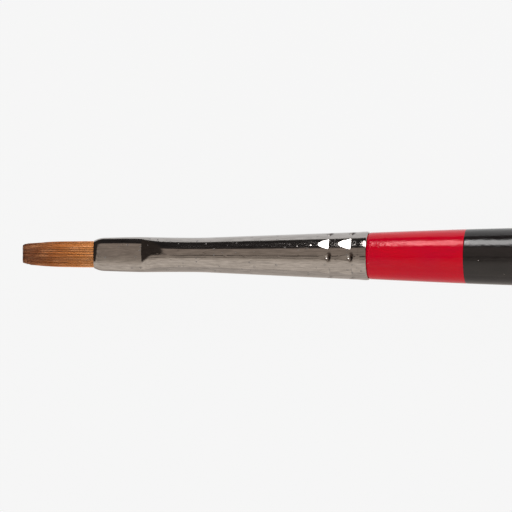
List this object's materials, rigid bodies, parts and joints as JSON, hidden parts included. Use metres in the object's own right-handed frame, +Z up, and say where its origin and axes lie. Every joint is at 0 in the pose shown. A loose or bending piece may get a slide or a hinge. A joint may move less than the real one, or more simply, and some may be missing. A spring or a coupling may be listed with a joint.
{
  "type": "fine detail brush",
  "caption": "Small flat artist's brush: square-cut hair tuft in a flattened, crimped metal ferrule on a slender turned and lacquered handle.",
  "frame": {"origin": "on the brush's axis, at the middle of the handle's belly, the straight round stretch where the brush is held", "axes": "+X along the brush from the hair to the handle's tail, +Y along the tuft's wide way, +Z up out of its flat face"},
  "size_m": [0.1821, 0.0072, 0.0072],
  "materials": {
    "sable_hair": "satin",
    "waxed_thread": "matte",
    "amber_resin": "gloss",
    "plated_brass": "polished",
    "adhesive": "matte",
    "birch": "satin",
    "red_lacquer": "gloss",
    "black_lacquer": "gloss"
  },
  "bodies": {
    "brush_body": {"hair_root": "sable_hair", "binding_thread": "waxed_thread", "root_resin": "amber_resin", "ferrule": "plated_brass", "handle_adhesive": "adhesive", "handle_core": "birch", "red_band": "red_lacquer", "black_lacquer": "black_lacquer"},
    "tuft": {"hair_tuft": "sable_hair"}
  },
  "joints": [
    {"name": "tuft_flex", "type": "hinge", "parent": "brush_body", "child": "tuft", "pos_m": [-0.0768, 0, 0], "axis": [0, 1, 0], "range_deg": [-40, 40], "stiffness_Nm_per_rad": 0.00003}
  ]
}
